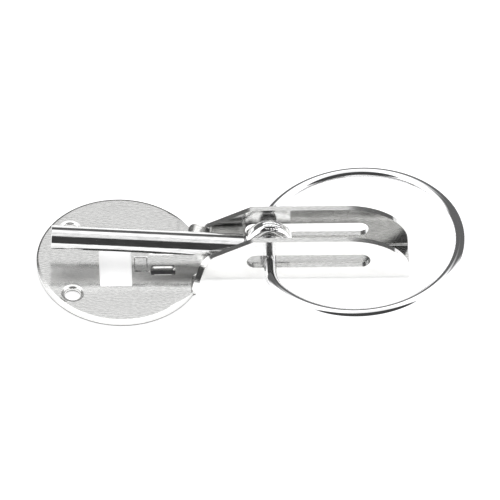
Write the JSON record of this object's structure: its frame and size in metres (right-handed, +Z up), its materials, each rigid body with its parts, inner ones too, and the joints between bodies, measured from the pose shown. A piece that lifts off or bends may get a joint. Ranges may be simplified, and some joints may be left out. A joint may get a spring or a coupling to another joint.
{
  "type": "keyring pocket tool",
  "caption": "Pierced metal disc drawn out into a slotted channel, with a half-round bar on a sliding saddle and a wire key ring.",
  "frame": {"origin": "on the channel's flat underside, directly below the ring's hinge axis in the stored pose", "axes": "+X from the disc to the channel's open end, +Y across the channel, +Z up out of the channel's open side"},
  "size_m": [0.0596, 0.0299, 0.0082],
  "materials": {
    "plated_sheet": "bright plated sheet with fine handling marks",
    "saddle_plate": "bright plated, knurled on top",
    "bar_plate": "bright plated",
    "ring_wire": "mirror polished"
  },
  "bodies": {
    "frame": {"disc_and_channel": "plated_sheet"},
    "saddle": {"hinge_saddle": "saddle_plate"},
    "bar": {"half_round_bar": "bar_plate"},
    "ring": {"key_ring": "ring_wire"}
  },
  "joints": [
    {"name": "saddle_slide", "type": "slide", "parent": "frame", "child": "saddle", "axis": [1, 0, 0], "range_m": [-0.0019, 0.0127]},
    {"name": "bar_tilt", "type": "hinge", "parent": "saddle", "child": "bar", "pos_m": [0, 0, 0.00397], "axis": [0, 1, 0], "range_deg": [-6, 9]},
    {"name": "ring_swing", "type": "hinge", "parent": "saddle", "child": "ring", "pos_m": [0, -0.0011, 0.00397], "axis": [0, 0.9986, -0.0523], "range_deg": [-156, 152]}
  ]
}
